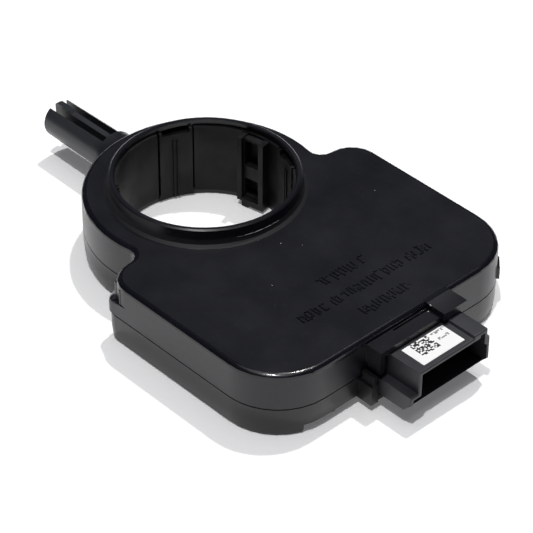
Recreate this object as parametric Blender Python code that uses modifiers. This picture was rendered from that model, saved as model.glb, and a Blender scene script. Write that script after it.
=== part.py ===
"""Steering angle sensor: a flat moulded housing that a steering column passes through.

The toothed rotor turns with the column in the bore and drives two measuring gears of unlike
tooth counts. Each gear carries a magnet under a sensor chip, and the two angles together give
the turns of the column. World frame: metres, +Z up, the origin on the bore axis at the
underside, +X from the bore towards the connector.
"""

import math

import bmesh
import bpy
from mathutils import Matrix, Vector

# Running clearance between pieces, and the overlap that joined shapes share
CLEAR = 0.0003
BITE = 0.0006

# Walls of the two shells
WALL = 0.0018
FLOOR_T = 0.0018
TOP_ROUND = 0.0014
SEAM_GAP = 0.0003

# Rotor: the sleeve that grips the column
SLEEVE_R = 0.0213
SLEEVE_T = 0.0015
TUBE_T = 0.0016

# Gear train: the ring gear keeps a web of GEAR_WEB between the sleeve and its tooth roots
MODULE = 0.0008
GEAR_WEB = 0.0026
ROTOR_TEETH = round(2 * (SLEEVE_R + SLEEVE_T + GEAR_WEB) / MODULE + 2.5)
TEETH_A = 24
TEETH_B = 22
PRESSURE = 20.0
TOOTH_THIN = 0.00012
MESH_EASE = 0.00015
GEAR_STEP = 5
GEAR_FACE = 0.0024
HUB_R = 0.0042
PIN_R = 0.0016
BOSS_R = 0.0040
MAGNET_R = 0.0025
MAGNET_T = 0.0008

# Housing outline: a ring round the ring gear that grows into a rounded rectangle
GEAR_ROOM = 0.0010
RING_R = MODULE * (ROTOR_TEETH / 2 + 1) + GEAR_ROOM + WALL
BODY_X = 0.0673
SHOULDER_X = 0.0095
SHOULDER_RISE = 0.00805
NECK_R = 0.0030
BODY_HALF = math.sqrt((RING_R + NECK_R) ** 2 - (SHOULDER_X - NECK_R) ** 2) + SHOULDER_RISE
CORNER_R = 0.0152
COVER_CORNER_R = 0.0075
BASE_CORNER_R = 0.0037
BELT_CORNER_R = 0.0026

# The stack from the seam up: gears, magnets, sensor chips, board, lid
SEAM_Z = 0.0079
GEAR_Z = SEAM_Z + 0.0010
HUB_DROP = 0.0016
HUB_RISE = 0.0005
PIN_RISE = 0.0011
HUB_Z0 = GEAR_Z - HUB_DROP
HUB_Z1 = GEAR_Z + GEAR_FACE + HUB_RISE
PIN_Z = GEAR_Z + PIN_RISE
SENSOR_T = 0.0008
BOARD_Z = HUB_Z1 + SENSOR_T + 3 * CLEAR
BOARD_T = 0.0016
BOARD_ROOM = 0.0009
TOP_Z = BOARD_Z + BOARD_T + BOARD_ROOM + WALL

# Side walls: the belt over the seam, the flare above it and the tapered skirt below
BELT_H = 0.0027
FLARE_H = 0.0013
SKIRT_IN = 0.0007
SKIRT_H = 0.0042
SOLE_H = 0.0009
SOLE_IN = 0.0003
RIB_T = 0.0009
RIB_H = 0.0007

# Bore: the lip over the rotor, and the rim below it
LIP_RISE = 0.0044
LIP_Z = TOP_Z + LIP_RISE
LIP_STEP = 0.0007
LIP_R = SLEEVE_R + LIP_STEP
LIP_T = 0.0015
LIP_COVER_T = 0.0013
LIP_ROOT = 0.0013
RIM_STEP = 0.0004
RIM_R = SLEEVE_R + RIM_STEP
RIM_T = 0.0010

# Sprung tabs and drive channel of the sleeve
TAB_TURN = 158.8
TAB_COUNT = 4
TAB_W = 0.0086
TAB_DROP = 0.0029
TAB_Z = LIP_Z - TAB_DROP
TAB_FOOT = 0.0021
TAB_SLOT = 0.0005
TAB_PAD_T = 0.0003
TAB_SOLE = 0.0008
TAB_CHEEK = 0.0007
TAB_RIB_W = 0.0004
TAB_RIB_T = 0.0004
TAB_RIB_SIDE = 0.0005
WINDOW_SKIN = 0.0007
KEY_TURN = 101.6
KEY_W = 0.0078
KEY_DEPTH = 0.0031
KEY_BACK = 0.0019
KEY_POST = 0.0014
KEY_FLOOR = 0.0024
KEY_SOLE = 0.0007
KEY_HEEL = 0.0016
KEY_FOOT_Z = 0.0002
KEY_FOOT_W = 0.0020
KEY_CROWN = 0.0002

# Circuit board: its edges, the posts that carry it and the pegs that centre it
BOARD_EDGE = 0.0009
BOARD_BACK = SHOULDER_X + 0.0025
POST_R = 0.0018
PEG_R = 0.0009
POST_IN = 0.0055
POST_SIDE = 0.0074
FAR_POST_IN = 0.0083
FAR_POST_SIDE = 0.0114
POST_AT = (
    (SHOULDER_X + POST_IN, BODY_HALF - POST_SIDE),
    (BODY_X - FAR_POST_IN, BODY_HALF - FAR_POST_SIDE),
)

# What the board carries on its underside: (length, width, height) of each chip, its place
# measured in from the connector wall, and the two cans with theirs
SENSOR_SIZE = (0.0050, 0.0040, SENSOR_T)
CONTROLLER_SIZE = (0.0090, 0.0090, 0.0014)
CONTROLLER_AT = (BODY_X - 0.0153, -0.0015)
TRANSCEIVER_SIZE = (0.0049, 0.0039, 0.0015)
TRANSCEIVER_AT = (BODY_X - 0.0133, 0.0150)
REGULATOR_SIZE = (0.0066, 0.0060, 0.0022)
REGULATOR_AT = (BODY_X - 0.0153, -0.0200)
CAPACITOR_R = 0.0031
CAPACITOR_H = 0.0062
CAPACITOR_AT = (BODY_X - 0.0253, -(BODY_HALF - 0.0104))
CRYSTAL_R = 0.0022
CRYSTAL_H = 0.0032
CRYSTAL_AT = (BODY_X - 0.0233, BODY_HALF - 0.0114)

# Snap peg on the far side of the ring
COLLAR_R = 0.0060
COLLAR_OUT = 0.0046
COLLAR_X = -(RING_R + COLLAR_OUT)
PEG_LENGTH = 0.0216
PEG_END_X = COLLAR_X - PEG_LENGTH
PEG_AXIS_Z = SEAM_Z + 0.0018
PEG_TIP_R = 0.00495
PEG_ROOT_R = 0.0053
PEG_BORE_R = 0.0034
PEG_SLOT_W = 0.0055
TONGUE_W = 0.0016
TONGUE_RISE = 0.0043
TONGUE_Z = PEG_AXIS_Z + TONGUE_RISE
HEAD_RISE = 0.0007
HEAD_Z = TONGUE_Z + HEAD_RISE
HEAD_L = 0.0055

# Connector header: its mouth faces +X, and its heights are measured from the seam
HEADER_REACH = 0.0139
MOUTH_X = BODY_X + HEADER_REACH
HEADER_DROP = 0.0040
HEADER_RISE = 0.0066
HEADER_Z0 = SEAM_Z - HEADER_DROP
HEADER_Z1 = SEAM_Z + HEADER_RISE
HEADER_LEFT = -0.0093
HEADER_RIGHT = 0.0137
FLANGE_W = 0.0025
FLANGE_Z = SEAM_Z + 0.0005
RAIL_H = 0.0007
RAIL_Z = HEADER_Z1 + RAIL_H
RAIL_Y0 = 0.0083
RAIL_Y1 = 0.0128
HEADER_T = 0.0009
SOCKET_X = BODY_X + 0.0045
CARRIER_X = BODY_X - 0.0045
CHIN = 0.0024
PIN_PITCH = 0.00254
PIN_COUNT = 6
PIN_SIDE = 0.00064
PIN_ROW_Y = 0.0010
PIN_ROW_Z = SEAM_Z + 0.0014
PIN_BLADE = 0.0091
PIN_TIP_X = BODY_X + PIN_BLADE
PIN_LEG_X = BODY_X - 0.0055

# Hood of the cover and cradle of the base round the header
HOOD_OUT = 0.0046
HOOD_X = BODY_X + HOOD_OUT
HOOD_LEFT = -0.0123
HOOD_RISE = 0.0018
HOOD_Z = HEADER_Z1 + HOOD_RISE
HOOD_CHEEK_Z = SEAM_Z + 0.0022
HOOD_CHEEK_T = 0.0014
BLOCK_OUT = 0.0057
BLOCK_X = BODY_X + BLOCK_OUT
BLOCK_Y0 = 0.0069
BLOCK_Y1 = 0.0144
CRADLE_OUT = 0.0041
CRADLE_X = BODY_X + CRADLE_OUT
CRADLE_Z0 = 0.0017
CRADLE_Z1 = SEAM_Z - 0.0010
CRADLE_W = 0.0022
CATCH_T = 0.0011
CATCH_Z = SEAM_Z + 0.0018

# Underside: the step behind the header and the two feet under it
STEP_Z = 0.0023
STEP_IN = 0.0058
STEP_X = BODY_X - STEP_IN
STEP_SIDE = 0.0101
STEP_FAR_SIDE = 0.0154
FOOT_R = 0.0011
FOOT_Y = 0.0212
FOOT_Z = 0.0011

# Side catch of the cover at the far corner, measured from the seam
CATCH_TURN = 45.0
CATCH_WIDE = 0.0046
CATCH_PROUD = 0.0005
CATCH_LOW = SEAM_Z + 0.0004
CATCH_HIGH = SEAM_Z + 0.0036
CATCH_BAR = 0.0010

# Facets round a full circle
ROUND = 60

MODEL = "steering_angle_sensor"


def clear_scene():
    for item in list(bpy.data.objects):
        bpy.data.objects.remove(item, do_unlink=True)


def collection(name):
    made = bpy.data.collections.new(name)
    bpy.context.scene.collection.children.link(made)
    return made


def material(name, colour, roughness, metallic=0.0):
    made = bpy.data.materials.new(name)
    made.use_nodes = True
    shader = made.node_tree.nodes["Principled BSDF"]
    shader.inputs["Base Color"].default_value = (*colour, 1.0)
    shader.inputs["Roughness"].default_value = roughness
    shader.inputs["Metallic"].default_value = metallic
    made.diffuse_color = (*colour, 1.0)
    return made


def add_mesh(name, mesh, group, look=None):
    """Puts a mesh in the scene: a part in PARTS, or a tool that only shapes a part in TOOLS."""
    item = bpy.data.objects.new(name, mesh)
    group.objects.link(item)
    if group is TOOLS:
        item.hide_render = True
        item.display_type = "WIRE"
    if look is not None:
        mesh.materials.append(look)
    return item


def from_bmesh(name, work):
    bmesh.ops.recalc_face_normals(work, faces=work.faces)
    mesh = bpy.data.meshes.new(name)
    work.to_mesh(mesh)
    work.free()
    return mesh


def boxes(name, spans):
    """One mesh of boxes, each span being ((x0, x1), (y0, y1), (z0, z1))."""
    work = bmesh.new()
    for span in spans:
        size = Vector([high - low for low, high in span])
        middle = Vector([(high + low) / 2 for low, high in span])
        made = bmesh.ops.create_cube(work, size=1.0)
        bmesh.ops.scale(work, vec=size, verts=made["verts"])
        bmesh.ops.translate(work, vec=middle, verts=made["verts"])
    return from_bmesh(name, work)


def cylinder(name, radius, z0, z1, centre=(0.0, 0.0), facets=ROUND, top_radius=None):
    work = bmesh.new()
    bmesh.ops.create_cone(
        work,
        cap_ends=True,
        segments=facets,
        radius1=radius,
        radius2=radius if top_radius is None else top_radius,
        depth=z1 - z0,
    )
    bmesh.ops.translate(work, vec=(centre[0], centre[1], (z0 + z1) / 2), verts=work.verts)
    return from_bmesh(name, work)


def move(mesh, matrix):
    mesh.transform(matrix)
    return mesh


ALONG_X = Matrix(((0, 0, 1, 0), (1, 0, 0, 0), (0, 1, 0, 0), (0, 0, 0, 1)))
ALONG_Y = Matrix(((1, 0, 0, 0), (0, 0, -1, 0), (0, 1, 0, 0), (0, 0, 0, 1)))


def turn(degrees):
    return Matrix.Rotation(math.radians(degrees), 4, "Z")


def arc(cx, cy, radius, start, stop, steps):
    """Points on an arc, both ends included; the angles are in degrees."""
    points = []
    for k in range(steps + 1):
        a = math.radians(start + (stop - start) * k / steps)
        points.append((cx + radius * math.cos(a), cy + radius * math.sin(a)))
    return points


def flat_solid(name, points, z0, z1):
    """A flat outline drawn as a filled 2D curve and extruded from z0 to z1."""
    data = bpy.data.curves.new(name, "CURVE")
    data.dimensions = "2D"
    data.fill_mode = "BOTH"
    data.extrude = (z1 - z0) / 2
    spline = data.splines.new("POLY")
    spline.points.add(len(points) - 1)
    for point, (x, y) in zip(spline.points, points):
        point.co = (x, y, 0.0, 1.0)
    spline.use_cyclic_u = True
    item = bpy.data.objects.new(name, data)
    TOOLS.objects.link(item)
    item.location.z = (z0 + z1) / 2
    bpy.context.view_layer.update()
    seen = item.evaluated_get(bpy.context.evaluated_depsgraph_get())
    mesh = bpy.data.meshes.new_from_object(seen)
    mesh.transform(item.matrix_world)
    bpy.data.objects.remove(item, do_unlink=True)
    work = bmesh.new()
    work.from_mesh(mesh)
    bpy.data.meshes.remove(mesh)
    bmesh.ops.remove_doubles(work, verts=work.verts, dist=1e-7)
    bmesh.ops.dissolve_limit(work, angle_limit=0.002, verts=work.verts, edges=work.edges)
    return from_bmesh(name, work)


def loft(name, sections):
    """A solid through outlines of equal point count, each section being (points, z)."""
    work = bmesh.new()
    rows = []
    for points, z in sections:
        rows.append([work.verts.new((x, y, z)) for x, y in points])
    count = len(rows[0])
    for low, high in zip(rows, rows[1:]):
        for k in range(count):
            n = (k + 1) % count
            work.faces.new((low[k], low[n], high[n], high[k]))
    work.faces.new(rows[0])
    work.faces.new(rows[-1])
    return from_bmesh(name, work)


def turned(name, profile, group, look=None, facets=ROUND):
    """A closed (radius, z) profile turned about Z; it runs down its outer side first."""
    work = bmesh.new()
    corners = [work.verts.new((r, 0.0, z)) for r, z in profile]
    for k, corner in enumerate(corners):
        work.edges.new((corner, corners[(k + 1) % len(corners)]))
    mesh = bpy.data.meshes.new(name)
    work.to_mesh(mesh)
    work.free()
    item = add_mesh(name, mesh, group, look)
    screw = item.modifiers.new("Turn", "SCREW")
    screw.axis = "Z"
    screw.angle = math.radians(360)
    screw.steps = facets
    screw.render_steps = facets
    screw.use_merge_vertices = True
    screw.merge_threshold = 0.00001
    return item


def combine(item, mesh, operation, label):
    """A Boolean on item with a tool made from mesh, or with an object that is a tool already."""
    tool = mesh
    if isinstance(mesh, bpy.types.Mesh):
        tool = add_mesh(item.name + "_" + label, mesh, TOOLS)
    tool.parent = item
    step = item.modifiers.new(label, "BOOLEAN")
    step.operation = operation
    step.solver = "EXACT"
    step.object = tool
    return tool


def cut(item, mesh, label):
    return combine(item, mesh, "DIFFERENCE", label)


def join(item, mesh, label):
    return combine(item, mesh, "UNION", label)


def round_edges(item, pick, width, segments):
    """A Bevel on the edges of the item's own mesh for which pick(start, end) is true."""
    mesh = item.data
    weights = mesh.attributes.get("bevel_weight_edge")
    if weights is None:
        weights = mesh.attributes.new("bevel_weight_edge", "FLOAT", "EDGE")
    for edge in mesh.edges:
        start = mesh.vertices[edge.vertices[0]].co
        end = mesh.vertices[edge.vertices[1]].co
        weights.data[edge.index].value = 1.0 if pick(start, end) else 0.0
    bevel = item.modifiers.new("Round", "BEVEL")
    bevel.limit_method = "WEIGHT"
    bevel.width = width
    bevel.segments = segments
    return bevel


def shade_group(degrees=32.0):
    """A node group that shades smoothly over edges flatter than the angle, and flat elsewhere."""
    group = bpy.data.node_groups.new("shade_by_angle", "GeometryNodeTree")
    group.interface.new_socket("Geometry", in_out="INPUT", socket_type="NodeSocketGeometry")
    group.interface.new_socket("Geometry", in_out="OUTPUT", socket_type="NodeSocketGeometry")
    source = group.nodes.new("NodeGroupInput")
    drain = group.nodes.new("NodeGroupOutput")
    angle = group.nodes.new("GeometryNodeInputMeshEdgeAngle")
    flat_enough = group.nodes.new("FunctionNodeCompare")
    flat_enough.operation = "LESS_EQUAL"
    flat_enough.inputs["B"].default_value = math.radians(degrees)
    faces = group.nodes.new("GeometryNodeSetShadeSmooth")
    edges = group.nodes.new("GeometryNodeSetShadeSmooth")
    edges.domain = "EDGE"
    group.links.new(angle.outputs["Unsigned Angle"], flat_enough.inputs["A"])
    group.links.new(source.outputs["Geometry"], faces.inputs["Geometry"])
    group.links.new(faces.outputs["Geometry"], edges.inputs["Geometry"])
    group.links.new(flat_enough.outputs["Result"], edges.inputs["Shade Smooth"])
    group.links.new(edges.outputs["Geometry"], drain.inputs["Geometry"])
    return group


def smooth(item):
    """The last step of a part: round sides shade smoothly and real edges stay crisp."""
    step = item.modifiers.new("Shade", "NODES")
    step.node_group = SHADING


def neck_centre():
    """Centre of the hollow fillet between the ring and the shoulder."""
    x = SHOULDER_X - NECK_R
    return x, math.sqrt((RING_R + NECK_R) ** 2 - x ** 2)


def housing_outline(inset, corner_r):
    """The outline of the housing, drawn in by inset, with the given shoulder corner."""
    nx, ny = neck_centre()
    bend = math.degrees(math.atan2(ny, nx))
    corner_r = min(corner_r, BODY_HALF - ny - 0.0001)
    half = arc(0.0, 0.0, RING_R - inset, 180.0, bend, 17)
    half += arc(nx, ny, NECK_R + inset, bend + 180.0, 360.0, 4)[1:]
    half += arc(SHOULDER_X + corner_r, BODY_HALF - corner_r, corner_r - inset, 180.0, 90.0, 5)
    half += arc(BODY_X - CORNER_R, BODY_HALF - CORNER_R, CORNER_R - inset, 90.0, 0.0, 8)
    lower = [(x, -y) for x, y in reversed(half[1:])]
    return half + lower


def shoulder_bead(side, radius, out, degrees):
    """Centre of a round feature on the shoulder corner, its far side out past the corner."""
    reach = COVER_CORNER_R + out - radius
    a = math.radians(degrees)
    x = SHOULDER_X + COVER_CORNER_R - reach * math.cos(a)
    return x, side * (BODY_HALF - COVER_CORNER_R + reach * math.sin(a))


def grow(points, amount):
    """A closed outline moved outwards by amount, its corners mitred."""
    area = sum(a[0] * b[1] - b[0] * a[1] for a, b in zip(points, points[1:] + points[:1]))
    way = 1.0 if area > 0 else -1.0
    grown = []
    for k, here in enumerate(points):
        before = Vector(points[k - 1])
        here = Vector(here)
        after = Vector(points[(k + 1) % len(points)])
        a = (here - before).normalized()
        b = (after - here).normalized()
        na = Vector((a.y, -a.x)) * way
        nb = Vector((b.y, -b.x)) * way
        mitre = (na + nb) / (1.0 + na.dot(nb))
        grown.append(tuple(here + mitre * amount))
    return grown


def header_section():
    """Outer section of the header, as (y, z): a low flange at the left, a high rail at the right."""
    slope = 0.3 * (RAIL_Z - HEADER_Z1)
    step = HEADER_RIGHT - RAIL_Y1
    return [
        (HEADER_LEFT, FLANGE_Z),
        (HEADER_LEFT, HEADER_Z1),
        (RAIL_Y0, HEADER_Z1),
        (RAIL_Y0 + slope, RAIL_Z),
        (RAIL_Y1, RAIL_Z),
        (RAIL_Y1, RAIL_Z - 2 * HEADER_T),
        (HEADER_RIGHT, RAIL_Z - 2 * HEADER_T - step),
        (HEADER_RIGHT, HEADER_Z0),
        (HEADER_LEFT - FLANGE_W, HEADER_Z0),
        (HEADER_LEFT - FLANGE_W, FLANGE_Z),
    ]


def socket_section():
    """Section of the mouth, inside the walls, with the key rib at its upper right."""
    t = HEADER_T
    right = HEADER_RIGHT - t
    return [
        (HEADER_LEFT + t, FLANGE_Z - t),
        (HEADER_LEFT + t, HEADER_Z1 - t),
        (RAIL_Y0 + 2.4 * t, HEADER_Z1 - t),
        (RAIL_Y0 + 2.4 * t, RAIL_Z - t),
        (RAIL_Y1 - t, RAIL_Z - t),
        (RAIL_Y1 - t, FLANGE_Z + 2.8 * t),
        (right, FLANGE_Z + 2.4 * t),
        (right, HEADER_Z0 + 1.5 * t),
        (HEADER_LEFT - FLANGE_W + t, HEADER_Z0 + 1.5 * t),
        (HEADER_LEFT - FLANGE_W + t, FLANGE_Z - t),
    ]


def post_places():
    return [(x, side * y) for x, y in POST_AT for side in (1, -1)]


def gear_outline(teeth, thin):
    """Outline of an involute spur gear with a tooth centred on +X."""
    pitch = MODULE * teeth / 2
    base = pitch * math.cos(math.radians(PRESSURE))
    tip = pitch + MODULE
    root = pitch - 1.25 * MODULE
    half = math.pi / (2 * teeth) - thin / (2 * pitch)
    lean = math.tan(math.radians(PRESSURE)) - math.radians(PRESSURE)
    start = max(base, root + 0.2 * MODULE)

    def flank(radius):
        roll = math.sqrt(max((radius / base) ** 2 - 1.0, 0.0))
        return half + lean - (roll - math.atan(roll))

    radii = [start + (tip - start) * s for s in (0.0, 1.0)]
    rise = [(root, flank(start) + 0.12 / teeth)]
    rise += [(radius, flank(radius)) for radius in radii]
    tooth = [(radius, -a) for radius, a in rise] + [(radius, a) for radius, a in reversed(rise)]
    points = []
    for k in range(teeth):
        at = 2 * math.pi * k / teeth
        points += [(r * math.cos(at + a), r * math.sin(at + a)) for r, a in tooth]
    return points


def gear_place(teeth, side):
    """Centre of a measuring gear and its turn from the rotor's +X tooth, in degrees."""
    reach = MODULE * (ROTOR_TEETH + teeth) / 2 + MESH_EASE
    at = side * GEAR_STEP * 360.0 / ROTOR_TEETH
    return reach * math.cos(math.radians(at)), reach * math.sin(math.radians(at)), at


def sleeve_out():
    return SLEEVE_R + SLEEVE_T


def tube_in():
    return sleeve_out() + CLEAR


def tube_out():
    return tube_in() + TUBE_T


def build_upper_cover():
    """The upper shell: lid, side walls, lip and tube of the bore, snap peg and header hood."""
    z0 = SEAM_Z + SEAM_GAP / 2
    belt = housing_outline(0.0, BELT_CORNER_R)
    outline = housing_outline(0.0, COVER_CORNER_R)
    flare = z0 + BELT_H + FLARE_H
    sections = [(belt, z0), (belt, z0 + BELT_H)]
    for step in (30.0, 60.0):
        a = math.radians(step)
        corner = BELT_CORNER_R + (COVER_CORNER_R - BELT_CORNER_R) * (1.0 - math.cos(a))
        sections.append((housing_outline(0.0, corner), z0 + BELT_H + FLARE_H * math.sin(a)))
    sections += [(outline, flare), (outline, TOP_Z)]
    cover = add_mesh("upper_cover", loft("upper_cover", sections), PARTS, BLACK_PBT)
    top = TOP_Z - 1e-6
    round_edges(cover, lambda a, b: a.z > top and b.z > top, TOP_ROUND, 3)
    for side, label in ((1, "bead_left"), (-1, "bead_right")):
        beads = ((0.0010, 0.0005, 45.0), (0.0006, 0.00015, 73.0))
        for k, (radius, out, way_round) in enumerate(beads):
            at = shoulder_bead(side, radius, out, way_round)
            crown = TOP_Z - 1.2 * TOP_ROUND
            shaft = cylinder(label, radius, flare - 0.0010, crown, at, 16)
            join(cover, shaft, "%s_%d" % (label, k + 1))
            peak = TOP_Z - TOP_ROUND / 2
            head = cylinder(label, 0.97 * radius, crown - BITE / 2, peak, at, 16, 0.3 * radius)
            join(cover, head, "%s_head_%d" % (label, k + 1))

    # the side catch at the far corner, a flat frame with a window
    spin = Matrix.Translation((BODY_X - CORNER_R, BODY_HALF - CORNER_R, 0.0)) @ turn(CATCH_TURN)
    half = CATCH_WIDE / 2
    proud = CORNER_R + CATCH_PROUD
    frame = [((CORNER_R - WALL / 2, proud), (-half, half), (CATCH_LOW, CATCH_HIGH))]
    join(cover, move(boxes("catch", frame), spin), "catch")

    # the hood over the header, with its cheek, and the thicker block beside it
    root = BODY_X - WALL
    under = HEADER_Z1 + CLEAR
    hood = [
        (HOOD_LEFT, HOOD_CHEEK_Z),
        (HOOD_LEFT, HOOD_Z),
        (BLOCK_Y0 + BITE, HOOD_Z),
        (BLOCK_Y0 + BITE, under),
        (HOOD_LEFT + HOOD_CHEEK_T, under),
        (HOOD_LEFT + HOOD_CHEEK_T, HOOD_CHEEK_Z),
    ]
    join(cover, move(flat_solid("hood", hood, root, HOOD_X), ALONG_X), "hood")
    block = [((root, BLOCK_X), (BLOCK_Y0, BLOCK_Y1), (RAIL_Z + CLEAR, TOP_Z - 0.0001))]
    join(cover, boxes("block", block), "block")
    groove = [((BODY_X + 0.0004, BODY_X + 0.0009), (-0.0045, BLOCK_Y0), (HOOD_Z - 0.0005, TOP_Z))]
    cut(cover, boxes("groove", groove), "groove")

    # the hollow of the shell, which stops at the lid, and the way through for the header
    room = housing_outline(WALL, COVER_CORNER_R)
    cut(cover, flat_solid("room", room, SEAM_Z - 0.004, TOP_Z - WALL), "room")
    way = grow(header_section(), CLEAR)
    length = 2 * BODY_X
    gate = move(flat_solid("gate", way, root - 0.001, length), ALONG_X)
    cut(cover, gate, "gate")
    for side, label in ((1, "pocket_left"), (-1, "pocket_right")):
        for k, way_round in enumerate((27.0, 49.0)):
            at = shoulder_bead(side, 0.0009, 0.0017, way_round)
            pocket = cylinder(label, 0.0009, z0 + BELT_H - 0.0007, flare + 0.0003, at, 16)
            cut(cover, pocket, "%s_%d" % (label, k + 1))
    window = [(
        (CORNER_R - WALL / 2 + 0.0002, proud + 0.001),
        (-half + CATCH_BAR, half - CATCH_BAR),
        (CATCH_LOW + CATCH_BAR, CATCH_HIGH - CATCH_BAR),
    )]
    cut(cover, move(boxes("catch_window", window), spin), "catch_window")

    # the bore, then the lip and the tube as one turned ring
    cut(cover, cylinder("bore", tube_out() - BITE, 0.0, TOP_Z + 0.01), "bore")
    seat = LIP_Z - LIP_COVER_T
    tube_end = GEAR_Z + GEAR_FACE + CLEAR + 0.0003
    ring = [
        (LIP_R + LIP_T - 0.0005, LIP_Z),
        (LIP_R + LIP_T - 0.0001, LIP_Z - 0.0003),
        (LIP_R + LIP_T, TOP_Z + 0.0016),
        (LIP_R + LIP_T + 0.35 * LIP_ROOT, TOP_Z + 0.0006),
        (LIP_R + LIP_T + LIP_ROOT, TOP_Z),
        (LIP_R + LIP_T + LIP_ROOT, TOP_Z - WALL / 2),
        (tube_out(), TOP_Z - WALL / 2),
        (tube_out(), tube_end),
        (tube_in(), tube_end),
        (tube_in(), seat),
        (LIP_R, seat),
        (LIP_R, LIP_Z - 0.0002),
        (LIP_R + 0.0002, LIP_Z),
    ]
    join(cover, turned("lip_and_tube", ring, TOOLS), "lip")

    # short pegs under the lid hold the board down on the posts of the base
    for k, (x, y) in enumerate(post_places()):
        stay = cylinder("stay", POST_R, BOARD_Z + BOARD_T + CLEAR, TOP_Z - WALL / 2, (x, y), 12)
        join(cover, stay, "stay_%d" % (k + 1))
        well = cylinder("well", PEG_R + CLEAR, BOARD_Z, TOP_Z - 0.7 * WALL, (x, y), 12)
        cut(cover, well, "well_%d" % (k + 1))
    add_snap_peg(cover)
    smooth(cover)
    return cover


def add_snap_peg(cover):
    """The split peg: a tapered tube, open along its top, with a sprung tongue down its middle."""
    place = Matrix.Translation((0.0, 0.0, PEG_AXIS_Z)) @ ALONG_X
    wall_x = -(RING_R - 0.7 * WALL)
    length = -PEG_END_X
    taper = cylinder("peg", PEG_TIP_R, PEG_END_X, wall_x, facets=32, top_radius=PEG_ROOT_R)
    tool = join(cover, move(taper, place), "peg")
    tip = PEG_END_X + 1e-6
    round_edges(tool, lambda a, b: a.x < tip and b.x < tip, 0.0004, 2)
    collar = move(cylinder("collar", COLLAR_R, COLLAR_X, wall_x, facets=32), place)
    join(cover, collar, "collar")
    bore = move(cylinder("peg_bore", PEG_BORE_R, -length - 0.001, COLLAR_X, facets=24), place)
    cut(cover, bore, "peg_bore")
    half = PEG_SLOT_W / 2
    slot = [((PEG_END_X - 0.001, COLLAR_X), (-half, half), (PEG_AXIS_Z, PEG_AXIS_Z + 0.01))]
    cut(cover, boxes("peg_slot", slot), "peg_slot")
    foot = PEG_AXIS_Z - PEG_BORE_R - BITE
    tongue = [
        (COLLAR_X + BITE, foot),
        (COLLAR_X + BITE, TONGUE_Z),
        (PEG_END_X + HEAD_L + 0.0008, TONGUE_Z),
        (PEG_END_X + HEAD_L, HEAD_Z),
        (PEG_END_X + 0.0009, HEAD_Z),
        (PEG_END_X, HEAD_Z - 0.0005),
        (PEG_END_X, foot),
    ]
    blade = flat_solid("tongue", tongue, -TONGUE_W / 2, TONGUE_W / 2)
    join(cover, move(blade, ALONG_Y), "tongue")


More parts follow.
